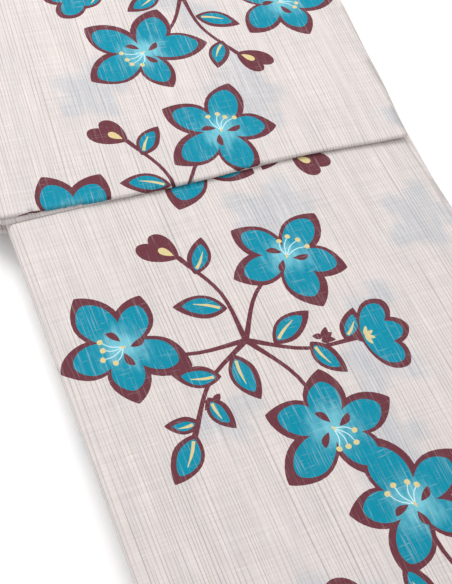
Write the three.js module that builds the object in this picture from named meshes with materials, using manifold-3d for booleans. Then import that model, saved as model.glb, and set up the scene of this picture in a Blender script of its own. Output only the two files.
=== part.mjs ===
// A cotton yukata folded lengthwise into its storage strip and then doubled across, lying flat.
// +X runs across the strip from the centre back to the side seams, +Y along it to the shoulders, +Z up.
// The strip is four body panels deep with the overlap panels between them. It is doubled at the tail with
// the shoulder half on top and the hem half beneath. One sleeve lies on it and the other between the halves.
import * as THREE from "three";
import { mergeVertices } from "three/addons/utils/BufferGeometryUtils.js";
import Module from "manifold-3d";

const wasm = await Module();
wasm.setup();

// Driving dimensions, in millimetres
const FOLDED_LENGTH = 840; // half of the 1680 from shoulder to hem
const CENTRE_BACK = -155; // the long folded edge
const CLOTH = 1.2; // one panel as it lies: the cotton with the air under it
const GAP = 0.3; // between pieces
const STACK = 10; // depth of one half of the doubled strip
const HEIGHT = 24; // depth of the doubled strip
const HEM_SPREAD = 7; // how far the hem half lies askew, towards the side seams
const HEM_STEP = 6; // how far each hem stops short of the one outside it
const SLEEVE_DROP = 490; // shoulder to the bottom of the sleeve
const SLEEVE_THICK = 3.2; // two walls and the slit between them
const SLEEVE_EDGE = 1.2; // the seamed edges round the slit
const CUFF_OPENING = 230; // the hand's opening, from the shoulder down
const CUFF_CORNER = 24; // radius of the sleeve's rounded bottom corner
const NECK = { across: 92, deep: 22 }; // half of the back neck
const COLLAR = { stands: 30, thick: 4, wall: 1, tucked: 24 };

const HEAD = FOLDED_LENGTH / 2;
const TAIL = -FOLDED_LENGTH / 2;
const TURN = HEIGHT / 2;
const SLEEVE_FOOT = HEAD - SLEEVE_DROP;

// The side seams, wider at the armholes than at the hips.
const SIDE_SEAM = [
  { y: TAIL, x: 155 },
  { y: -180, x: 156 },
  { y: SLEEVE_FOOT, x: 158 },
  { y: 30, x: 168 },
  { y: 90, x: 174 },
  { y: 220, x: 177 },
  { y: HEAD, x: 177 },
];
// The upper sleeve lies slightly askew, so both of its long edges lean.
const UPPER_SLEEVE = [
  { y: SLEEVE_FOOT, cuff: -172, armhole: 158 },
  { y: 30, cuff: -162, armhole: 170 },
  { y: 90, cuff: -157, armhole: 176 },
  { y: 220, cuff: -153, armhole: 178 },
  { y: HEAD, cuff: -152, armhole: 178 },
];

// One column of a table whose rows are in order of y, joined by straight lines.
function column(table, name, y) {
  const after = table.findIndex((row) => row.y >= y);
  if (after === -1) return table.at(-1)[name];
  if (after === 0) return table[0][name];
  const [a, b] = [table[after - 1], table[after]];
  return THREE.MathUtils.lerp(a[name], b[name], (y - a.y) / (b.y - a.y));
}

// Turns a closed geometry's faces round if they point inwards.
function facingOut(geometry) {
  const p = geometry.attributes.position;
  const [a, b, c] = [new THREE.Vector3(), new THREE.Vector3(), new THREE.Vector3()];
  let volume = 0;
  for (let i = 0; i < geometry.index.count; i += 3) {
    [a, b, c].forEach((v, k) => v.fromBufferAttribute(p, geometry.index.getX(i + k)));
    volume += a.dot(b.cross(c));
  }
  if (volume < 0) geometry.index.array.reverse();
  return geometry;
}

// A closed solid through rings that all have the same number of points, capped flat at both ends.
function loft(rings) {
  const size = rings[0].length;
  const index = [];
  for (let r = 0; r + 1 < rings.length; r++)
    for (let i = 0; i < size; i++) {
      const j = (i + 1) % size;
      const [a, b, c, d] = [r * size + i, r * size + j, (r + 1) * size + j, (r + 1) * size + i];
      index.push(a, b, c, a, c, d);
    }
  const caps = [
    { ring: rings[0], start: 0, flip: true },
    { ring: rings.at(-1), start: (rings.length - 1) * size, flip: false },
  ];
  for (const { ring, start, flip } of caps) {
    const normal = new THREE.Vector3();
    ring.forEach((p, i) => normal.add(p.clone().cross(ring[(i + 1) % size])));
    const turn = new THREE.Quaternion().setFromUnitVectors(normal.normalize(), new THREE.Vector3(0, 0, 1));
    const flat = ring.map((p) => p.clone().applyQuaternion(turn)).map((p) => new THREE.Vector2(p.x, p.y));
    for (const [a, b, c] of THREE.ShapeUtils.triangulateShape(flat, []))
      index.push(start + a, start + (flip ? c : b), start + (flip ? b : c));
  }
  const geometry = new THREE.BufferGeometry();
  const position = rings.flat().flatMap((p) => [p.x, p.y, p.z]);
  geometry.setAttribute("position", new THREE.Float32BufferAttribute(position, 3));
  geometry.setIndex(index);
  return facingOut(geometry);
}

function solid(geometry) {
  return new wasm.Manifold(
    new wasm.Mesh({
      numProp: 3,
      vertProperties: new Float32Array(geometry.attributes.position.array),
      triVerts: new Uint32Array(geometry.index.array),
    }),
  );
}

function geometryOf(manifold) {
  const mesh = manifold.getMesh();
  const geometry = new THREE.BufferGeometry();
  geometry.setAttribute("position", new THREE.BufferAttribute(mesh.vertProperties, mesh.numProp));
  geometry.setIndex(new THREE.BufferAttribute(mesh.triVerts, 1));
  return geometry;
}

// A flat shape raised from one height to another.
function slab(shape, low, high) {
  const raised = new THREE.ExtrudeGeometry(shape, { depth: high - low, bevelEnabled: false, curveSegments: 8 });
  raised.deleteAttribute("normal");
  raised.deleteAttribute("uv");
  return solid(mergeVertices(raised.translate(0, 0, low), 1e-4));
}

// The outside of the doubled strip: from the shoulders along the top, round the tail and back to the hem.
// Each station has its place, its direction into the stack and how far it is shifted across.
function doubledPath(hem) {
  const straight = [0, 0.1, 0.22, 0.36, 0.5, 0.64, 0.76, 0.88, 1];
  const bend = TAIL + TURN;
  const steps = 12;
  const top = straight.map((t) => ({ y: THREE.MathUtils.lerp(HEAD, bend, t), z: HEIGHT, into: [0, -1], spread: 0 }));
  const round = Array.from({ length: steps - 1 }, (_, i) => {
    const share = (i + 1) / steps;
    const [s, c] = [Math.sin(Math.PI * share), Math.cos(Math.PI * share)];
    return { y: bend - TURN * s, z: TURN + TURN * c, into: [s, -c], spread: HEM_SPREAD * share };
  });
  const under = straight.map((t) => ({ y: THREE.MathUtils.lerp(bend, hem, t), z: 0, into: [0, 1], spread: HEM_SPREAD }));
  return [...top, ...round, ...under];
}

// Sweeps a section round the doubled path. A section's points are { x, d }, where d is the depth into the
// stack. A point marked side has its x measured from the side seams.
function doubled(section, hem) {
  return loft(
    doubledPath(hem).map(({ y, z, into, spread }) =>
      section.map(({ x, d, side }) => {
        const across = (side ? column(SIDE_SEAM, "x", y) : 0) + x + spread;
        return new THREE.Vector3(across, y + into[0] * d, z + into[1] * d);
      }),
    ),
  );
}

// A back panel: flat across the strip, and turned in at the centre back where its seam meets the other.
function backSection(beyond) {
  const r = (STACK - GAP) / 2;
  const arc = (radius, from, to) =>
    Array.from({ length: 5 }, (_, i) => {
      const a = THREE.MathUtils.lerp(from, to, i / 4);
      return { x: CENTRE_BACK + r - radius * Math.sin(a), d: r - radius * Math.cos(a) };
    });
  return [
    { x: beyond, d: 0, side: true },
    ...arc(r, 0, Math.PI / 2),
    ...arc(r - CLOTH, Math.PI / 2, 0),
    { x: beyond, d: CLOTH, side: true },
  ];
}

const otherWayUp = (section) => section.map((p) => ({ ...p, d: STACK - p.d })).reverse();

// A front panel: one flat layer that stops short of the centre back, with a rounded edge there.
function frontSection(depth, beyond) {
  const edge = CENTRE_BACK + STACK / 2 + GAP;
  return [
    { x: beyond, d: depth, side: true },
    { x: edge, d: depth },
    { x: edge - CLOTH / 3, d: depth + CLOTH / 2 },
    { x: edge, d: depth + CLOTH },
    { x: beyond, d: depth + CLOTH, side: true },
  ];
}

// The overlap panels with the fronts' hidden folds: one rounded solid, slit into layers at the side.
function overlapSection() {
  const layers = [
    { from: 3, to: 4.1, beyond: -2 },
    { from: 4.4, to: 5.6, beyond: -6 },
    { from: 5.9, to: 7, beyond: 0 },
  ];
  const slit = -22;
  const edge = CENTRE_BACK + STACK / 2 + GAP;
  return [
    { x: edge, d: layers[0].from },
    ...layers.flatMap(({ from, to, beyond }, i) => [
      ...(i > 0 ? [{ x: slit, d: from, side: true }] : []),
      { x: beyond, d: from, side: true },
      { x: beyond, d: to, side: true },
      ...(i < 2 ? [{ x: slit, d: to, side: true }] : []),
    ]),
    { x: edge, d: layers[2].to },
    { x: edge - 3, d: (layers[0].from + layers[2].to) / 2 },
  ].reverse();
}

// The half of the back neck, as a shape from the centre back to the shoulder.
function neckShape() {
  const shape = new THREE.Shape();
  shape.moveTo(CENTRE_BACK - 10, HEAD + 10);
  shape.lineTo(CENTRE_BACK - 10, HEAD - NECK.deep);
  shape.lineTo(CENTRE_BACK, HEAD - NECK.deep);
  shape.bezierCurveTo(
    CENTRE_BACK + NECK.across * 0.6, HEAD - NECK.deep,
    CENTRE_BACK + NECK.across * 0.85, HEAD - NECK.deep * 0.6,
    CENTRE_BACK + NECK.across, HEAD + 10,
  );
  return shape;
}

const neckCut = slab(neckShape(), HEIGHT - STACK - 1, HEIGHT + 1);
const withNeck = (geometry) => geometryOf(solid(geometry).subtract(neckCut));

// A sleeve: two walls joined along the shoulder fold, the bottom seam and the edge below the hand's opening,
// and open along the edge next to the body.
function sleeve(floor, shift, foot, head) {
  const levels = (inset, low, high, armholeBeyond) => {
    const corner = CUFF_CORNER - inset;
    const rises = [0, 0.03, 0.12, 0.3, 0.6, 1].map((t) => foot + inset + corner * t);
    const rows = [...rises, 30, 90, 220, head - inset];
    return rows.map((y) => {
      const left = Math.max(corner - (y - foot - inset), 0);
      const cut = corner - Math.sqrt(Math.max(corner ** 2 - left ** 2, 0));
      const cuff = column(UPPER_SLEEVE, "cuff", y) + shift + inset + (left > 0 ? cut : 0);
      const armhole = column(UPPER_SLEEVE, "armhole", y) + shift + armholeBeyond;
      const r = Math.min(0.9, (high - low) / 3);
      return [
        new THREE.Vector3(armhole, y, low + r),
        new THREE.Vector3(armhole, y, high - r),
        new THREE.Vector3(armhole - r, y, high),
        new THREE.Vector3(cuff + r, y, high),
        new THREE.Vector3(cuff, y, high - r),
        new THREE.Vector3(cuff, y, low + r),
        new THREE.Vector3(cuff + r, y, low),
        new THREE.Vector3(armhole - r, y, low),
      ];
    });
  };
  const [low, high] = [floor + CLOTH, floor + SLEEVE_THICK - CLOTH];
  const outside = solid(loft(levels(0, floor, floor + SLEEVE_THICK, 0)));
  const slit = solid(loft(levels(SLEEVE_EDGE, low, high, 10)));
  const opening = new THREE.Shape();
  opening.moveTo(-220, HEAD - CUFF_OPENING);
  opening.lineTo(-100, HEAD - CUFF_OPENING);
  opening.lineTo(-100, head - SLEEVE_EDGE - 0.5);
  opening.lineTo(-220, head - SLEEVE_EDGE - 0.5);
  return geometryOf(outside.subtract(slit).subtract(slab(opening, low, high)));
}

// The back neck half of the collar band, standing out past the shoulders, drawn in by an inset.
function collarShape(inset, foot) {
  const left = CENTRE_BACK + 8 + inset;
  const top = HEAD + COLLAR.stands - inset;
  const right = CENTRE_BACK + NECK.across - inset;
  const shape = new THREE.Shape();
  shape.moveTo(left, foot);
  shape.lineTo(right, foot);
  shape.lineTo(right, HEAD - 8);
  shape.bezierCurveTo(right - 6, HEAD + 12, right - 30, top - 4, left + 24, top);
  shape.lineTo(left, top);
  return shape;
}

const collarLow = HEIGHT - STACK / 2 - COLLAR.thick / 2;
const collarFoot = HEAD - COLLAR.tucked;

function overCollar() {
  const { thick, wall } = COLLAR;
  const inside = slab(collarShape(wall, collarFoot - 5), collarLow + wall, collarLow + thick - wall);
  return geometryOf(slab(collarShape(0, collarFoot), collarLow, collarLow + thick).subtract(inside));
}

function collar() {
  const clear = COLLAR.wall + GAP;
  return geometryOf(slab(collarShape(clear, collarFoot), collarLow + clear, collarLow + COLLAR.thick - clear));
}

// The overlap panels stop short of the shoulders, under the collar.
function overlapPanels() {
  const edge = HEAD - COLLAR.tucked - 2;
  const shoulders = new THREE.Shape();
  shoulders.moveTo(-300, edge);
  shoulders.lineTo(300, edge);
  shoulders.lineTo(300, HEAD + 5);
  shoulders.lineTo(-300, HEAD + 5);
  const whole = solid(doubled(overlapSection(), HEAD - 2 * HEM_STEP));
  return geometryOf(whole.subtract(slab(shoulders, HEIGHT - STACK, HEIGHT)));
}

const FIRST = CLOTH + GAP; // depth of the outer front panel
const SECOND = STACK - 2 * CLOTH - GAP; // depth of the inner front panel

const pieces = {
  back_right: withNeck(doubled(backSection(0), HEAD)),
  front_right: withNeck(doubled(frontSection(FIRST, 5), HEAD - HEM_STEP)),
  overlap_panels: overlapPanels(),
  front_left: withNeck(doubled(frontSection(SECOND, 1), HEAD - HEM_STEP)),
  back_left: withNeck(doubled(otherWayUp(backSection(-2)), HEAD - 2)),
  sleeve_right: sleeve(HEIGHT + GAP, 0, SLEEVE_FOOT, HEAD),
  sleeve_left: sleeve((HEIGHT - SLEEVE_THICK) / 2, -6, SLEEVE_FOOT + 6, HEAD - 2),
  collar: collar(),
  over_collar: overCollar(),
};

const yukata = new THREE.Group();
for (const [name, geometry] of Object.entries(pieces)) {
  const cotton = new THREE.MeshStandardMaterial({ color: "#e6dcd9", roughness: 0.9, metalness: 0 });
  const mesh = new THREE.Mesh(geometry, cotton);
  mesh.name = name;
  yukata.add(mesh);
}

// The origin lies on the resting surface, under the middle of the outline.
const middle = new THREE.Box3().setFromObject(yukata).getCenter(new THREE.Vector3());
for (const mesh of yukata.children) mesh.position.set(-middle.x, -middle.y, 0);

export default yukata;
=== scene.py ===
# A cotton yukata folded flat, in printed striped cotton, on a pale surface under soft studio light.
import math
import random

import bpy
import numpy as np
from mathutils import Matrix, Vector, geometry


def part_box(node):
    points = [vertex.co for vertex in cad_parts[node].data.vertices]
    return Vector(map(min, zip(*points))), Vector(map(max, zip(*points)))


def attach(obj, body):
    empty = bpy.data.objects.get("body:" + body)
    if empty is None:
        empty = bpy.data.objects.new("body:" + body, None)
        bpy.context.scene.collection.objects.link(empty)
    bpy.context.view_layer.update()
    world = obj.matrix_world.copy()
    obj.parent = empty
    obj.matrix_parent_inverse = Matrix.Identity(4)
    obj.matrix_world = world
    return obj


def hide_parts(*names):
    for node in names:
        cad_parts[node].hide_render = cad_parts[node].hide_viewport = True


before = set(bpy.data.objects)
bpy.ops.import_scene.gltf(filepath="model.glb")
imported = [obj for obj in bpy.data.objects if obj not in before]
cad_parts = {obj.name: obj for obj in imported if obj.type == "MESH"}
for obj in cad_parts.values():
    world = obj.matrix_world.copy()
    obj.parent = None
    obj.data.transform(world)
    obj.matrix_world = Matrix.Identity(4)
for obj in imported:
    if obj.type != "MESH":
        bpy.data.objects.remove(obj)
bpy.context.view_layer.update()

MM = 0.001
rng = random.Random(7)


def box_mm(node_name):
    """The low and high corners of one solid, in millimetres."""
    return [[c / MM for c in corner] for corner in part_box(node_name)]


# ------------------------------------------------------------------ sizes of the folded robe, in millimetres
LOW, HIGH = box_mm("back_right")
CENTRE_BACK = LOW[0]
TAIL, HEAD, HEIGHT = LOW[1], HIGH[1], HIGH[2]
SKEW = 7.0  # the hem half lies this far across from the shoulder half
SIDE_AT_HEAD = HIGH[0] - SKEW
STACK = 10.0  # depth of one half of the doubled strip
CLOTH = 1.2  # a panel as it lies, with the air under it
GAP = 0.3
THICK = 0.5  # the cotton itself
TURN = HEIGHT / 2  # the round of the fold at the tail end
BEND = TAIL + TURN
UNDERSIDE = BEND - math.pi * TURN
HEM = UNDERSIDE - (HEAD - BEND)
FOLD = (STACK - GAP) / 2  # the round of a back panel at the centre back
SEAM = CENTRE_BACK + FOLD - math.pi / 2 * FOLD
FRONT_EDGE = CENTRE_BACK + STACK / 2 + GAP
SLEEVE_FOOT = HEAD - 490
CUFF_CORNER = 24.0
CUFF_OPENING = 230.0
NECK_ACROSS, NECK_DEEP = 92.0, 22.0
BAND_LONG = 60.0  # a cloth is cut to its print in bands about this long
WIDEST = 406  # past every cloth's side edge, and a whole number of point spacings

# How far across from the side at the shoulder the side seam lies, and the upper sleeve's two long edges.
SIDE_SEAM = [
    {"y": TAIL, "x": -22},
    {"y": -195, "x": -21},
    {"y": -85, "x": -19},
    {"y": 15, "x": -9},
    {"y": 75, "x": -3},
    {"y": 205, "x": 0},
    {"y": HEAD, "x": 0},
]
UPPER_SLEEVE = [
    {"y": -100, "cuff": -349, "armhole": -20},
    {"y": 15, "cuff": -339, "armhole": -7},
    {"y": 75, "cuff": -334, "armhole": -1},
    {"y": 205, "cuff": -330, "armhole": 1},
    {"y": HEAD, "cuff": -329, "armhole": 1},
]
# Soft ridges and troughs in the top cloths, mostly along the yarns.
CREASES = [
    {"from": (40, -95), "to": (60, -330), "wide": 24, "high": 0.8},
    {"from": (120, -95), "to": (125, -300), "wide": 16, "high": 0.9},
    {"from": (-70, -100), "to": (-50, -380), "wide": 28, "high": -0.7},
    {"from": (-130, -120), "to": (-128, -390), "wide": 15, "high": 0.6},
    {"from": (100, -85), "to": (150, 60), "wide": 9, "high": 0.9},
    {"from": (60, -80), "to": (110, 80), "wide": 11, "high": -0.7},
    {"from": (135, -80), "to": (165, 40), "wide": 6, "high": -0.8},
    {"from": (30, -80), "to": (70, 60), "wide": 9, "high": 0.6},
    {"from": (-120, -80), "to": (-90, 120), "wide": 20, "high": 0.7},
    {"from": (-20, -85), "to": (0, 140), "wide": 26, "high": -0.6},
    {"from": (-90, 180), "to": (120, 240), "wide": 22, "high": 0.8},
    {"from": (-100, 330), "to": (60, 300), "wide": 18, "high": -0.7},
]

# ------------------------------------------------------------------ the print, in millimetres of cloth
# The print is laid out in bunches, half a repeat apart down the cloth, by turns an eighth of its width to
# either side and turned about. A bunch is three flowers at even angles round a middle, each on its stalk,
# with a leafy shoot growing outwards between each two of them.
PRINT_WIDTH, REPEAT_LONG = 310.0, 440.0
BUNCH_ARM, BUNCH_TILT, LEAF_LONG, STALK_BOW = 80.0, 14.0, 36.0, 8.0
OUTWARD_SHOOTS = [
    {"leaves": 3, "ends": "bud"},
    {"leaves": 2, "ends": "drop"},
    {"leaves": 4, "ends": "leaf"},
]
LAYERS = ["stem", "outline", "petal", "thread", "dot", "eye"]


def hex_linear(text):
    """An sRGB colour such as #e6dcd9 as linear RGBA."""
    parts = [int(text[i:i + 2], 16) / 255 for i in (1, 3, 5)]
    return [c / 12.92 if c <= 0.04045 else ((c + 0.055) / 1.055) ** 2.4 for c in parts] + [1.0]


def column_at(rows, name, y, ease=10.0):
    """A smooth curve through one column of a table, read at one or more places y."""
    places = np.array([row["y"] for row in rows], float)
    values = np.array([row[name] for row in rows], float)
    return sum(np.interp(y + ease * k, places, values) for k in (-1, -0.5, 0, 0.5, 1)) / 5


# ------------------------------------------------------------------ shapes of the print
def turned(centre, reach, degrees):
    """The place at a reach from a centre, in a direction."""
    a = math.radians(degrees)
    return (centre[0] + reach * math.cos(a), centre[1] + reach * math.sin(a))


def oval(base, tip, left, right, belly=0.58, fullness=0.7, steps=26):
    """A rounded shape from base to tip, with a half-width on each side of its axis."""
    return blade(base, tip, left, right, belly, 0.0, 0.5, fullness, steps)


def blade(base, tip, left, right, belly, lean, ending, fullness=0.75, steps=30):
    """A petal or leaf from base to tip. An ending of 0.5 is round, and of 1 comes to a point."""
    base, tip = np.array(base, float), np.array(tip, float)
    along = tip - base
    aside = np.array([-along[1], along[0]]) / np.linalg.norm(along)
    half = steps // 2
    t = (1 - np.cos(np.pi * np.arange(half + 1) / half)) / 2
    near = np.sin(np.pi / 2 * np.minimum(t / belly, 1)) ** fullness
    s = np.clip((t - belly) / (1 - belly), 0, 1)
    swell = near * (1 - s ** 2) ** ending
    bent = lean * s ** 2
    one = [base + along * a + aside * (left * w + c) for a, w, c in zip(t, swell, bent)]
    other = [base + along * a - aside * (right * w - c) for a, w, c in zip(t, swell, bent)]
    return [tuple(p) for p in other + one[-2:0:-1]]


def ribbon(points, widths):
    """A line through points, smoothed, as a strip whose width runs through widths."""
    points = [np.array(p, float) for p in points]
    ends = [2 * points[0] - points[1]] + points + [2 * points[-1] - points[-2]]
    line = []
    for a, b, c, d in zip(ends, ends[1:], ends[2:], ends[3:]):
        for t in np.linspace(0, 1, 5, endpoint=False):
            line.append(0.5 * (2 * b + (c - a) * t + (2 * a - 5 * b + 4 * c - d) * t ** 2
                               + (3 * b - a - 3 * c + d) * t ** 3))
    line.append(points[-1])
    wide = np.interp(np.linspace(0, 1, len(line)), np.linspace(0, 1, len(widths)), widths)
    sides = [[], []]
    for i, p in enumerate(line):
        way = line[min(i + 1, len(line) - 1)] - line[max(i - 1, 0)]
        normal = np.array([-way[1], way[0]]) / (np.linalg.norm(way) or 1)
        sides[0].append(tuple(p + normal * wide[i] / 2))
        sides[1].append(tuple(p - normal * wide[i] / 2))
    return sides[1] + sides[0][::-1]


def petal(centre, way, long, wide, lean):
    """One petal: a dark outline, thin at its sides and drawn out to a leaning point, round a paler oval."""
    edge = rng.uniform(2.4, 3.2)
    more = rng.uniform(0.8, 2.4)
    left, right = (wide + edge + more, wide + edge) if lean > 0 else (wide + edge, wide + edge + more)
    foot, point = turned(centre, -4, way), turned(centre, long + 1.5, way)
    tip = turned(centre, long - rng.uniform(5.5, 8.5), way)
    return [
        ("outline", "maroon", blade(foot, point, left, right, 0.55, 3.0 * lean, 0.86)),
        ("petal", "teal", blade(centre, tip, wide, wide, 0.6, 1.2 * lean, 0.62)),
    ]


def petals_of(faces, size):
    """Five petals evenly round a flower, each a little out of true."""
    return [(faces + 72 * i + rng.uniform(-9, 9), size * rng.uniform(0.9, 1.12)) for i in range(5)]


def flower(x, y, faces, petals):
    """An open flower: petals round a pale centre, dark eyes behind it, and stamens fanned before it."""
    centre = (x, y)
    shapes = []
    for i, (way, long) in enumerate(petals):
        shapes += petal(centre, way, long, long * rng.uniform(0.235, 0.262), 1 if i % 2 else -1)
    for offset in (-80, 80, 170):
        near, far = turned(centre, 4.5, faces + offset - 12), turned(centre, 15.5, faces + offset + 10)
        shapes.append(("eye", "maroon", blade(near, far, 1.9, 3.1, 0.6, 0.8, 0.7, 0.9, 14)))
    for offset in (-38, -13, 13, 38):
        way, out = faces + offset + rng.uniform(-4, 4), rng.uniform(13, 18)
        end, curved = turned(centre, out, way), turned(centre, out * 0.55, way + 12)
        shapes.append(("thread", "white", ribbon([centre, curved, end], [0.9, 0.55])))
        near, far = turned(end, -2.1, way + 70), turned(end, 2.1, way + 70)
        shapes.append(("dot", "yellow", oval(near, far, 1.9, 1.9, 0.5, 0.6, 14)))
    near, far = turned(centre, -2.0, faces), turned(centre, 2.0, faces)
    shapes.append(("dot", "yellow", oval(near, far, 0.9, 0.9, 0.5, 0.6, 12)))
    return shapes


def leaf(x, y, way, long, wide):
    """A leaf: a dark outline with a drawn-out tip round a paler blade, and one pale vein."""
    base = (x, y)
    side = rng.choice([-1, 1])
    inner = max(wide - 1.8, 2.0)
    left, right = (wide + 0.6, wide + 1.8) if side > 0 else (wide + 1.8, wide + 0.6)
    foot, tip = turned(base, -1, way), turned(base, long, way)
    inner_foot, inner_tip = turned(base, 2.5, way), turned(base, long * 0.9 - 3, way)
    bend, end = turned(base, long * 0.34, way + 5 * side), turned(base, long * 0.62, way + 2 * side)
    vein = [turned(base, 4, way), bend, end]
    return [
        ("outline", "maroon", blade(foot, tip, left, right, 0.44, -3.5 * side, 0.92)),
        ("petal", "teal", blade(inner_foot, inner_tip, inner, inner, 0.48, -2.0 * side, 0.74)),
        ("thread", "yellow", ribbon(vein, [2.2, 2.0, 0.4])),
    ]


def drop(x, y, way, long, wide):
    """A closed bud hanging from its stalk: two dark lobes with one pale drop."""
    base = (x, y)
    foot = turned(base, -1, way)
    longer, shorter = turned(base, long, way + 13), turned(base, long * 0.88, way - 16)
    return [
        ("outline", "maroon", oval(foot, longer, wide * 0.75, wide * 0.62, 0.64, 0.8)),
        ("outline", "maroon", oval(foot, shorter, wide * 0.6, wide * 0.7, 0.64, 0.8)),
        ("dot", "yellow", oval(turned(base, 3, way), turned(base, long * 0.5, way), 3.0, 3.0, 0.7, 0.95, 14)),
    ]


def bud(x, y, petals):
    """A flower seen from the side: petals fanned from a small cup, with a pale star at their foot."""
    base = (x, y)
    shapes = []
    for i, (way, long) in enumerate(petals):
        lean = 1 if i % 2 else -1
        foot, tip, inner_tip = turned(base, -2, way), turned(base, long, way), turned(base, long - 5, way)
        shapes.append(("outline", "maroon", blade(foot, tip, long * 0.32, long * 0.32, 0.64, lean, 0.6)))
        shapes.append(("petal", "teal", blade(base, inner_tip, long * 0.24, long * 0.24, 0.64, 0, 0.55)))
    middle = petals[len(petals) // 2][0]
    for offset in (-58, -20, 20, 58):
        near, far = turned(base, 1.5, middle), turned(base, 8.5, middle + offset)
        shapes.append(("dot", "yellow", oval(near, far, 1.5, 1.5, 0.35, 0.8, 10)))
    near, far = turned(base, -6, middle), turned(base, 5, middle)
    shapes.append(("stem", "maroon", oval(near, far, 4.8, 4.8, 0.5, 0.7, 14)))
    return shapes


def tuft(x, y, way):
    """Small bracts where two stalks part."""
    shapes = []
    for offset, long in ((-70, 6), (-30, 9), (10, 8), (50, 9), (150, 7)):
        tip = turned((x, y), long, way + offset)
        shapes.append(("stem", "maroon", blade((x, y), tip, 2.6, 2.6, 0.4, 1.0, 0.9, 0.75, 12)))
    return shapes


def shoot(start, end, bow, leaves, first, ends):
    """A stalk that bows to its left, with leaves on each side by turns and whatever it ends in."""
    start, end = np.array(start, float), np.array(end, float)
    across = np.array([start[1] - end[1], end[0] - start[0]])
    middle = (start + end) / 2 + across / np.linalg.norm(across) * bow
    shapes = [("stem", "maroon", ribbon([start, middle, end], (4.2, 3.0, 2.8, 3.0, 4.0)))]
    for i in range(leaves):
        share = (i + 0.8) / (leaves + 0.3)
        place = (1 - share) ** 2 * start + 2 * share * (1 - share) * middle + share ** 2 * end
        way = (1 - share) * (middle - start) + share * (end - middle)
        side = -1 if i % 2 else 1
        long = first * (1 - 0.13 * i)
        shapes += leaf(*place, math.degrees(math.atan2(way[1], way[0])) + side * 55, long, long * 0.23)
    way = math.degrees(math.atan2(*(end - middle)[::-1]))
    if ends == "drop":
        shapes += drop(*end, way + 20, 30, 11)
    if ends == "bud":
        shapes += bud(*end, [(way + offset, rng.uniform(33, 42)) for offset in (-48, 0, 48)])
    if ends == "leaf":
        shapes += leaf(*end, way, first, first * 0.25)
    if leaves > 2:
        shapes += tuft(*(start * 0.35 + end * 0.65), way)
    return shapes


def bunch(middle, way):
    """Three open flowers round a middle, and the leafy shoots between them: its shapes, and the flowers."""
    shapes, flowers = [], []
    for i, outward in enumerate(OUTWARD_SHOOTS):
        out = way + 120 * i
        heart = turned(middle, BUNCH_ARM * rng.uniform(0.94, 1.08), out + rng.uniform(-8, 8))
        faces = out + rng.uniform(-30, 30)
        petals = petals_of(faces, rng.uniform(44, 50))
        shapes += flower(*heart, faces, petals)
        flowers.append((*heart, petals))
        shapes += shoot(middle, heart, STALK_BOW, 0, 0, "nothing")
        tip = turned(middle, BUNCH_ARM, out + 60)
        shapes += shoot(middle, tip, -STALK_BOW, outward["leaves"], LEAF_LONG, outward["ends"])
    return shapes, flowers


def printed(start, first, last):
    """The bunches counted from first to last down a cloth: every shape in printing order, and the flowers."""
    shapes, flowers = [], []
    for i in range(first, last + 1):
        side = -1 if i % 2 else 1
        middle = (PRINT_WIDTH / 8 * side, start + REPEAT_LONG / 2 * i)
        laid, opened = bunch(middle, 90 * side + BUNCH_TILT)
        shapes += laid
        flowers += opened
    shapes.sort(key=lambda shape: LAYERS.index(shape[0]))
    return [shape[1:] for shape in shapes], flowers


# ------------------------------------------------------------------ printed cotton
def node(tree, kind, inputs=(), out=0, **settings):
    """Adds a node, sets its properties, sets or links its inputs, and gives one of its outputs."""
    made = tree.nodes.new(kind)
    for key, value in settings.items():
        setattr(made, key, value)
    for key, value in dict(inputs).items():
        if isinstance(value, bpy.types.NodeSocket):
            tree.links.new(value, made.inputs[key])
        else:
            made.inputs[key].default_value = value
    return made.outputs[out]


def yarns(tree, cloth, across_mm, along_mm, seed):
    """Uneven yarn: noise whose grains are across_mm wide over the warp and along_mm long down it."""
    grains = (1 / (across_mm * MM), 1 / (along_mm * MM), 1.0)
    stretched = node(tree, "ShaderNodeVectorMath", {0: cloth, 1: grains, 2: (seed, seed * 1.7, 0.0)},
                     operation="MULTIPLY_ADD")
    noise = {"Vector": stretched, "Scale": 1.0, "Detail": 2.0, "Roughness": 0.6}
    return node(tree, "ShaderNodeTexNoise", noise, noise_dimensions="2D")


STRIPE_STEP = 2.4  # from one darker warp end to the next, in millimetres
STRIPE_GREY = "#6f6765"
SLUB_PALE = "#eeebea"
GROUND_DARKER = "#cdc6c4"
SHOWN_THROUGH = "#b3b8bf"


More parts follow.
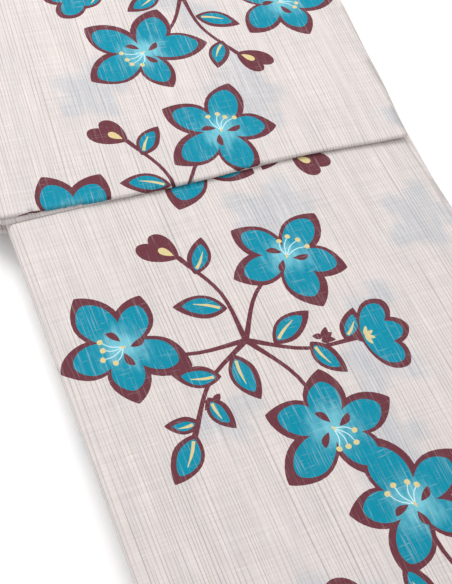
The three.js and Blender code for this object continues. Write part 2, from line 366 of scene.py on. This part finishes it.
def printed_cotton(name, dye, stripes, slubs, wash=None, shows_under=False):
    """Thin plain-woven yukata cotton, printed with one dye over a woven-in stripe.

    The dye sits on uneven yarns, so it is mottled along the warp and the weft. The stripe is a thin grey warp
    end at every STRIPE_STEP, and no two are equally dark. Slubs, the yarn's thick places, take less dye and
    show as pale streaks. A wash is the paler dye brushed round a flower's centre. The ground is thin enough
    for the print of the layer beneath to show through it as blurred grey-blue patches.
    """
    material = bpy.data.materials.new("yukata_cotton_" + name)
    material.use_nodes = True
    tree = material.node_tree
    shader = tree.nodes["Principled BSDF"]
    cloth = node(tree, "ShaderNodeAttribute", out="Vector", attribute_name="cloth")
    across = node(tree, "ShaderNodeSeparateXYZ", {0: cloth})
    warp = yarns(tree, cloth, 1.1, 60, 3.1)
    weft = yarns(tree, cloth, 50, 1.2, 8.4)

    colour = hex_linear(dye)
    if wash:
        pale = node(tree, "ShaderNodeAttribute", out="Fac", attribute_name="pale")
        bristles = yarns(tree, cloth, 6, 18, 5.5)
        brushed = node(tree, "ShaderNodeMath", {0: bristles, 1: 0.9, 2: -0.45}, operation="MULTIPLY_ADD")
        brushed = node(tree, "ShaderNodeMath", {0: pale, 1: brushed}, operation="ADD")
        brushed = node(tree, "ShaderNodeMapRange", {0: brushed, 1: 0.05, 2: 1.0},
                       interpolation_type="SMOOTHSTEP")
        colour = node(tree, "ShaderNodeMix", {0: brushed, 6: colour, 7: hex_linear(wash)}, out=2,
                      data_type="RGBA")
    if shows_under:
        tone = node(tree, "ShaderNodeMapRange", {0: yarns(tree, cloth, 9, 60, 30.3), 1: 0.35, 2: 0.7})
        colour = node(tree, "ShaderNodeMix", {0: tone, 6: colour, 7: hex_linear(GROUND_DARKER)}, out=2,
                      data_type="RGBA")
        under = node(tree, "ShaderNodeAttribute", out="Fac", attribute_name="under")
        streaks = yarns(tree, cloth, 2.2, 45, 17.2)
        streaked = node(tree, "ShaderNodeMath", {0: streaks, 1: 1.5, 2: -0.15}, operation="MULTIPLY_ADD")
        under = node(tree, "ShaderNodeMath", {0: under, 1: streaked}, operation="MULTIPLY", use_clamp=True)
        under = node(tree, "ShaderNodeMath", {0: under, 1: 0.9}, operation="MULTIPLY")
        colour = node(tree, "ShaderNodeMix", {0: under, 6: colour, 7: hex_linear(SHOWN_THROUGH)}, out=2,
                      data_type="RGBA")

    drift = yarns(tree, cloth, 24, 700, 1.3)
    beat = node(tree, "ShaderNodeMath", {0: across, 1: 1 / (STRIPE_STEP * MM), 2: 0.0},
                operation="MULTIPLY_ADD")
    beat = node(tree, "ShaderNodeMath", {0: drift, 1: 4.0, 2: beat}, operation="MULTIPLY_ADD")
    beat = node(tree, "ShaderNodeMath", {0: beat, 1: 0.5}, operation="PINGPONG")
    end = node(tree, "ShaderNodeMapRange", {0: beat, 1: 0.19, 2: 0.02}, interpolation_type="SMOOTHSTEP")
    ends_apart = yarns(tree, cloth, 4.2, 210, 6.6)
    weight = node(tree, "ShaderNodeMapRange", {0: ends_apart, 1: 0.34, 2: 0.64, 3: 0.3, 4: 0.95})
    stripe = node(tree, "ShaderNodeMath", {0: end, 1: weight}, operation="MULTIPLY")
    stripe = node(tree, "ShaderNodeMath", {0: stripe, 1: stripes}, operation="MULTIPLY")
    colour = node(tree, "ShaderNodeMix", {0: stripe, 6: colour, 7: hex_linear(STRIPE_GREY)}, out=2,
                  data_type="RGBA")

    long_slub = node(tree, "ShaderNodeMapRange", {0: yarns(tree, cloth, 1.2, 36, 14.2), 1: 0.58, 2: 0.74})
    cross_slub = node(tree, "ShaderNodeMapRange", {0: yarns(tree, cloth, 17, 1.2, 21.7), 1: 0.64, 2: 0.8})
    slub = node(tree, "ShaderNodeMath", {0: long_slub, 1: cross_slub}, operation="MAXIMUM")
    streak = node(tree, "ShaderNodeMath", {0: slub, 1: slubs}, operation="MULTIPLY")
    colour = node(tree, "ShaderNodeMix", {0: streak, 6: colour, 7: hex_linear(SLUB_PALE)}, out=2,
                  data_type="RGBA")

    mottle = node(tree, "ShaderNodeMath", {0: warp, 1: weft}, operation="ADD")
    mottle = node(tree, "ShaderNodeMapRange", {0: mottle, 1: 0.6, 2: 1.4, 3: 0.9, 4: 1.06})
    grey = node(tree, "ShaderNodeCombineColor", {0: mottle, 1: mottle, 2: mottle})
    colour = node(tree, "ShaderNodeMix", {0: 1.0, 6: colour, 7: grey}, out=2, data_type="RGBA",
                  blend_type="MULTIPLY")
    tree.links.new(colour, shader.inputs["Base Color"])

    relief = node(tree, "ShaderNodeMath", {0: slub, 1: 0.5, 2: mottle}, operation="MULTIPLY_ADD")
    bump = node(tree, "ShaderNodeBump", {"Strength": 0.3, "Distance": 0.3 * MM, "Height": relief})
    tree.links.new(bump, shader.inputs["Normal"])
    shader.inputs["Roughness"].default_value = 0.9
    shader.inputs["Specular IOR Level"].default_value = 0.15
    return material


COTTONS = {
    "ground": printed_cotton("ground", "#d6cdca", stripes=0.5, slubs=0.3, shows_under=True),
    "maroon": printed_cotton("maroon", "#67343d", stripes=0.1, slubs=0.12),
    "teal": printed_cotton("teal", "#0087a0", stripes=0.16, slubs=0.2, wash="#72bccb"),
    "yellow": printed_cotton("yellow", "#d3c28c", stripes=0.12, slubs=0.15),
    "white": printed_cotton("white", "#bfdfe4", stripes=0.1, slubs=0.2),
}
DYES = list(COTTONS)


# ------------------------------------------------------------------ how the cloth lies
def lift(x, y):
    """How far the top of the fold stands above its mean, in soft uneven ridges and troughs."""
    total = 0.22 * np.sin(x / 31 + 1.3) * np.sin(y / 57 + 0.4) + 0.15 * np.sin(x / 17 + y / 43)
    for row in CREASES:
        (ax, ay), (bx, by) = row["from"], row["to"]
        long = math.hypot(bx - ax, by - ay)
        t = ((x - ax) * (bx - ax) + (y - ay) * (by - ay)) / long ** 2
        off = ((x - ax) * (by - ay) - (y - ay) * (bx - ax)) / long + 3 * np.sin(t * 7 + ax)
        total = total + row["high"] * np.exp(-(off / row["wide"]) ** 2) * np.exp(-((t - 0.5) / 0.45) ** 4)
    return total


def on_path(v):
    """A cloth that runs along the top, round the bend and back beneath.

    Gives y, z, the outward y and z, and the share of the turn that is behind it."""
    s = BEND - v
    a = np.clip(s / TURN, 0, math.pi)
    past = np.maximum(s - math.pi * TURN, 0)
    y = np.where(s < 0, v, BEND - TURN * np.sin(a) + past)
    return y, HEIGHT - TURN + TURN * np.cos(a), -np.sin(a), np.cos(a), a / math.pi


def doubled(across, v, depth):
    """Lays a cloth along the doubled strip at a depth into it."""
    y, z, out_y, out_z, share = on_path(v)
    rise = lift(across, y) * np.clip(1 - share * 3, 0, 1)
    return np.stack([across + SKEW * share, y - out_y * depth, z - out_z * depth + rise], axis=1)


def back_at(upside_down):
    """A back panel: flat across the strip and turned in at the centre back."""
    def place(u, v):
        start = CENTRE_BACK + FOLD
        b = np.clip((start - u) / FOLD, 0, math.pi / 2)
        across = np.where(u < start, start - FOLD * np.sin(b), u)
        depth = FOLD - FOLD * np.cos(b)
        return doubled(across, v, STACK - depth if upside_down else depth)
    return place


def flat_at(depth):
    """A flat inner panel at one depth in the stack."""
    return lambda u, v: doubled(u, v, depth)


def side_seam(v):
    """How far across the side seam is, at a place along the cloth."""
    return float(column_at(SIDE_SEAM, "x", on_path(v)[0]) + SIDE_AT_HEAD)


def sleeve_tube(node_name, lifted):
    """A sleeve: a closed tube from its bottom seam up the top wall, over the shoulder and down beneath.

    Gives how it lies, its two long edges and the bands it is cut in. A lifted sleeve takes up the creases."""
    low, high = box_mm(node_name)
    turn = (high[2] - low[2]) / 2
    middle = (high[2] + low[2]) / 2
    shift = high[0] - SIDE_AT_HEAD - UPPER_SLEEVE[-1]["armhole"]
    crown = high[1] - turn
    around = 2 * crown + math.pi * turn

    def level(v):
        return np.where(v > crown + math.pi * turn / 2, around - v, v)

    def foot_at(u):
        return low[1] + (2.5 - u / 45 + 2.0 * np.sin(u / 36)) * lifted

    def edge(name, v):
        y = np.maximum(level(v), low[1])
        return column_at(UPPER_SLEEVE, name, y) + SIDE_AT_HEAD + shift

    def left(v):
        corner = np.clip(CUFF_CORNER - (level(v) - low[1]), 0, CUFF_CORNER)
        return float(edge("cuff", v) + CUFF_CORNER - np.sqrt(CUFF_CORNER ** 2 - corner ** 2))

    def right(v):
        return float(edge("armhole", v)) + 0.5 * math.sin(v / 29)

    def place(u, v):
        foot = foot_at(u)
        a = np.clip((foot + turn - v) / turn, 0, math.pi)
        y = np.where(v < foot + turn, foot + turn - turn * np.sin(a), v)
        y = y + np.maximum(foot + turn - v - math.pi * turn, 0)
        z = turn * np.cos(a)
        b = np.clip((v - crown) / turn, 0, math.pi)
        over = np.where(b > 0, crown + turn * np.sin(b) - np.maximum(v - crown - math.pi * turn, 0), y)
        z = np.where(b > 0, turn * np.cos(b), z)
        sewn = np.array([left(w) for w in v])
        closed = np.sqrt(1 - (1 - np.clip((u - sewn) / 4, 0, 1)) ** 2)
        opening = np.clip((level(v) - (HEAD - CUFF_OPENING)) / 25, 0, 1)
        corner = np.clip((u - 95) / 60, 0, 1) ** 2 * np.exp(-((over - foot) / 30) ** 2)
        rise = (lift(u, over) + 1.6 * corner) * lifted
        return np.stack([u, over, middle + z * (closed + (1 - closed) * opening) + rise], axis=1)

    bands = banded([
        (around - low[1] - turn - 2, 14.0),
        (crown + math.pi * turn + 6, 3.0),
        (crown - 6, 7.0 if lifted else 14.0),
        (low[1] + 26, 2.4),
        (low[1] + 12, 1.4),
        (low[1] + turn - math.pi * turn - 3, 1.4),
    ])
    return place, (left, right), bands


# ------------------------------------------------------------------ cutting and laying
def cut_band(high, low, left, right, columns, spacing, shapes):
    """Cuts one band of a cloth along its print. Gives its points and each face with its dye."""
    steps = max(1, round((high - low) / spacing))
    rows = [high + (low - high) * i / steps for i in range(steps + 1)]
    ends = [(left(v), right(v)) for v in rows]
    inside = [[x for x in columns if a + 0.4 < x < b - 0.4] for a, b in ends]
    points = [(a, v) for (a, _), v in zip(ends, rows)]
    points += [(x, low) for x in inside[-1]]
    points += [(b, v) for (_, b), v in zip(ends[::-1], rows[::-1])]
    points += [(x, high) for x in inside[0][::-1]]
    faces = [list(range(len(points)))]
    dyes = ["ground"]
    for dye, shape in shapes:
        ys = [p[1] for p in shape]
        if max(ys) > low and min(ys) < high:
            faces.append(list(range(len(points), len(points) + len(shape))))
            points += shape
            dyes.append(dye)
    for v, row in zip(rows[1:-1], inside[1:-1]):
        points += [(x, v) for x in row]
    out = geometry.delaunay_2d_cdt([Vector(p) for p in points], [], faces, 1, 1e-4, True)
    kept = [(face, dyes[max(origin)]) for face, origin in zip(out[2], out[5]) if 0 in origin]
    return [tuple(p) for p in out[0]], kept


def banded(marks):
    """Splits a length into bands. Each mark is a place and the spacing of points that starts there."""
    bands = []
    for (high, spacing), (low, _) in zip(marks, marks[1:]):
        count = max(1, round((high - low) / BAND_LONG))
        for i in range(count):
            bands.append((high + (low - high) * i / count, high + (low - high) * (i + 1) / count, spacing))
    return bands


def shown_beneath(flat, flowers):
    """How strongly the petals of the layer beneath show through at each point, softly blurred."""
    under = np.zeros(len(flat))
    for x, y, petals in flowers:
        for way, long in petals:
            a = math.radians(way)
            dx = flat[:, 0] - x - long * 0.5 * math.cos(a)
            dy = flat[:, 1] - y - long * 0.5 * math.sin(a)
            along = (dx * math.cos(a) + dy * math.sin(a)) / (long * 0.5)
            aside = (dy * math.cos(a) - dx * math.sin(a)) / (long * 0.3)
            under = np.maximum(under, np.clip((1.2 - np.hypot(along, aside)) / 0.3, 0, 1))
    return under


def washed(flat, flowers):
    """How strong the brushed wash is at each point: most at the middle of each open flower."""
    pale = np.zeros(len(flat))
    for x, y, petals in flowers:
        reach = max(long for _, long in petals)
        away = np.hypot(flat[:, 0] - x, flat[:, 1] - y) / reach
        pale = np.maximum(pale, np.clip(0.95 - away * 1.9, 0, 1))
    return pale


def cut_cloth(edges, bands, shapes, columns):
    """Cuts a cloth band by band and joins them: its flat points, its faces and the dye of each."""
    left, right = edges
    seen, flat, faces, dyes = {}, [], [], []
    for high, low, spacing in bands:
        points, kept = cut_band(high, low, left, right, columns, spacing, shapes)
        for face, dye in kept:
            corners = []
            for i in face:
                key = (round(points[i][0] * 200), round(points[i][1] * 200))
                if key not in seen:
                    seen[key] = len(flat)
                    flat.append(points[i])
                corners.append(seen[key])
            if len(set(corners)) == 3:
                faces.append(corners)
                dyes.append(DYES.index(dye))
    return np.array(flat), faces, dyes


def cloth_piece(name, edges, bands, prints, place, fine=(), turn=0.0, beneath=(), outward=-1.0, apart=14.0):
    """One printed cloth: cut along its print, laid in place and given its thickness."""
    shapes, flowers = prints
    columns = sorted(set(np.arange(-WIDEST, WIDEST, apart).tolist() + list(fine)))
    flat, faces, dyes = cut_cloth(edges, bands, shapes, columns)
    x, y = flat[:, 0], flat[:, 1]
    mesh = bpy.data.meshes.new(name)
    mesh.from_pydata((place(x, y) * MM).tolist(), [], faces)
    for material in COTTONS.values():
        mesh.materials.append(material)
    mesh.polygons.foreach_set("material_index", dyes)
    mesh.shade_smooth()
    c, s = math.cos(math.radians(turn)), math.sin(math.radians(turn))
    cloth = np.stack([x * c - y * s, x * s + y * c, 0 * x], axis=1) * MM
    mesh.attributes.new("cloth", "FLOAT_VECTOR", "POINT").data.foreach_set("vector", cloth.ravel())
    mesh.attributes.new("pale", "FLOAT", "POINT").data.foreach_set("value", washed(flat, flowers))
    mesh.attributes.new("under", "FLOAT", "POINT").data.foreach_set("value", shown_beneath(flat, beneath))
    made = bpy.data.objects.new(name + "_cloth", mesh)
    bpy.context.scene.collection.objects.link(made)
    shell = made.modifiers.new("thickness", "SOLIDIFY")
    shell.thickness = THICK * MM
    shell.offset = outward
    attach(made, "root")
    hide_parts(name)
    return made


def wavering(beyond, seed):
    """A panel's side edge, standing a little beyond the side seam and never quite straight."""
    def edge(v):
        straight = side_seam(np.array(v)) + beyond
        return straight + 0.7 * math.sin(v / 37 + seed) + 0.4 * math.sin(v / 11 + 2 * seed)
    return edge


def hollowed(start):
    """A panel's edge at the centre back, cut away at the shoulder for the neck."""
    def edge(v):
        rise = v - (HEAD - NECK_DEEP)
        if rise < -2:
            return start
        share = (max(rise, 0) / (NECK_DEEP + 10)) ** 0.45
        return max(start, CENTRE_BACK + NECK_ACROSS * (0.3 + 0.7 * share))
    return edge


def overlap_fold(prints):
    """The overlap panels and the fronts' hidden folds: one cloth, folded at the centre back."""
    edge = FRONT_EDGE - 3
    turn = 1.6

    def place(u, v):
        a = np.clip(u / turn, -math.pi / 2, math.pi / 2)
        across = edge + turn - turn * np.cos(a) + np.maximum(abs(u) - math.pi / 2 * turn, 0)
        return doubled(across, v, STACK / 2 + turn * np.sin(a))

    first, second = wavering(-2.0, 4), wavering(0.0, 5)
    edges = (lambda v: edge - first(v), lambda v: second(v) - edge)
    shapes = [(dye, [(x - edge, y) for x, y in points]) for dye, points in prints[0]]
    bands = banded([(HEAD - 26, 14.0), (BEND, 3.0), (UNDERSIDE, 14.0), (HEM + 12, 14.0)])
    return edges, bands, (shapes, []), place, [0.8 * i for i in range(-5, 6)]


def collar_band(inset):
    """Half of the collar band at the back neck, folded along its top and standing past the shoulders."""
    low, high = box_mm("over_collar")
    left, right, top = low[0] + inset, high[0] - inset, high[1] - inset
    half = (high[2] - low[2]) / 2 - inset - THICK / 2
    middle = (high[2] + low[2]) / 2
    tall = top - low[1]

    def place(u, v):
        across = (u - left) / (right - left)
        crest = top - (tall - 18) * np.clip((across - 0.28) / 0.72, 0, 1) ** 2.2
        down = np.maximum(abs(v) - half, 0) / (tall - half)
        a = np.clip(v / half, -math.pi / 2, math.pi / 2)
        y = crest - half + half * np.cos(a)
        y = y - (y - low[1]) * down
        z = middle + half * np.sin(a)
        return np.stack([u, y, z], axis=1)

    return (lambda v: left, lambda v: right), banded([(tall, 3.0), (-tall, 3.0)]), ([], []), place


def near_side(prints, x):
    """Only the part of a print that reaches the side edge."""
    return [shape for shape in prints[0] if max(p[0] for p in shape[1]) > x], []


# ------------------------------------------------------------------ the nine cloths
body_print = printed(0, -7, 3)
sleeve_print = printed(REPEAT_LONG / 4, -3, 4)
edge_print = near_side(body_print, 110)
# What shows through the ground: the flowers of the layers beneath, seen from the back, and some of their
# petals once more.
hidden = [
    (30 - 0.8 * x, y + 40, tuple((180 - way, long * 0.72) for way, long in petals))
    for x, y, petals in body_print[1]
]
hidden += [
    (x + 44, y - 62, tuple((way + 24, long * 0.6) for way, long in petals[:3]))
    for x, y, petals in body_print[1]
]
outer_length = banded([
    (HEAD, 3.0),
    (HEAD - 30, 12.0),
    (SLEEVE_FOOT + 30, 7.0),
    (BEND, 2.4),
    (UNDERSIDE, 9.0),
    (HEM, 9.0),
])
inner_length = banded([(HEAD, 3.0), (HEAD - 30, 14.0), (BEND, 3.0), (UNDERSIDE, 14.0), (HEM, 14.0)])
# Closer points where a back turns in at the centre back, and where a sleeve's tube closes at its cuff side.
centre_columns = [SEAM + 0.95 * i for i in range(1, 9)]
cuff_columns = [CENTRE_BACK - 30 + 1.5 * i for i in range(30)]

back_right = cloth_piece(
    "back_right", (hollowed(SEAM), wavering(0.0, 0)), outer_length, body_print, back_at(False),
    fine=centre_columns, beneath=hidden, apart=7.0)
back_left = cloth_piece(
    "back_left", (hollowed(SEAM), wavering(-2.0, 1)), inner_length, edge_print, back_at(True),
    fine=centre_columns, outward=1.0)
front_right = cloth_piece(
    "front_right", (hollowed(FRONT_EDGE), wavering(5.0, 2)), inner_length, edge_print, flat_at(CLOTH + GAP))
front_left = cloth_piece(
    "front_left", (hollowed(FRONT_EDGE), wavering(1.0, 3)), inner_length, edge_print,
    flat_at(STACK - 2 * CLOTH - GAP))

place, edges, bands = sleeve_tube("sleeve_right", 1.0)
sleeve_right = cloth_piece(
    "sleeve_right", edges, bands, sleeve_print, place, turn=4.0, fine=cuff_columns, beneath=hidden, apart=7.0)
place, edges, bands = sleeve_tube("sleeve_left", 0.0)
sleeve_left = cloth_piece("sleeve_left", edges, bands, sleeve_print, place, turn=2.0, fine=cuff_columns)

overlap_panels = cloth_piece("overlap_panels", *overlap_fold(edge_print))
collar = cloth_piece("collar", *collar_band(1.3))
over_collar = cloth_piece("over_collar", *collar_band(0.0))


# ------------------------------------------------------------------ camera, floor and light
def place_camera():
    """Looks down along the strip from its tail end and centre back, a little tilted."""
    azimuth, elevation, roll = (math.radians(a) for a in (-30.86, 54.29, 10.95))
    distance = 0.75
    target = Vector((CENTRE_BACK + 125, TAIL + 255, HEIGHT)) * MM
    level = math.cos(elevation)
    back = Vector((math.sin(azimuth) * level, -math.cos(azimuth) * level, math.sin(elevation)))
    right = Vector((math.cos(azimuth), math.sin(azimuth), 0.0))
    up = back.cross(right)
    across = right * math.cos(roll) + up * math.sin(roll)
    upward = up * math.cos(roll) - right * math.sin(roll)
    data = bpy.data.cameras.new("camera")
    data.sensor_width = 36.0
    data.lens = 67.8
    camera = bpy.data.objects.new("camera", data)
    facing = Matrix((across, upward, back)).transposed().to_4x4()
    camera.matrix_world = Matrix.Translation(target + back * distance) @ facing
    bpy.context.scene.collection.objects.link(camera)
    bpy.context.scene.camera = camera


def soft_light(name, place, aim, size, power):
    """A window-like panel of light at a place, turned to face its aim."""
    data = bpy.data.lights.new(name, "AREA")
    data.shape = "RECTANGLE"
    data.size, data.size_y = size
    data.energy = power
    light = bpy.data.objects.new(name, data)
    light.location = place
    light.rotation_euler = (Vector(aim) - Vector(place)).to_track_quat("-Z", "Y").to_euler()
    bpy.context.scene.collection.objects.link(light)


place_camera()
floor_mesh = bpy.data.meshes.new("surface")
floor_mesh.from_pydata([(-4, -4, 0), (4, -4, 0), (4, 4, 0), (-4, 4, 0)], [], [(0, 1, 2, 3)])
surface = bpy.data.objects.new("surface", floor_mesh)
surface.location.z = -0.0005
bpy.context.scene.collection.objects.link(surface)
paper = bpy.data.materials.new("white_paper")
paper.use_nodes = True
paper_shader = paper.node_tree.nodes["Principled BSDF"]
paper_shader.inputs["Base Color"].default_value = (0.94, 0.94, 0.94, 1)
paper_shader.inputs["Roughness"].default_value = 0.9
floor_mesh.materials.append(paper)

soft_light("window", (-0.3, 1.35, 1.5), (0, 0, 0), (1.2, 1.2), 30)
world = bpy.data.worlds.new("studio")
bpy.context.scene.world = world
world.use_nodes = True
daylight = world.node_tree.nodes["Background"]
daylight.inputs["Color"].default_value = (1, 1, 1, 1)
daylight.inputs["Strength"].default_value = 0.85
bpy.context.scene.view_settings.view_transform = "Standard"
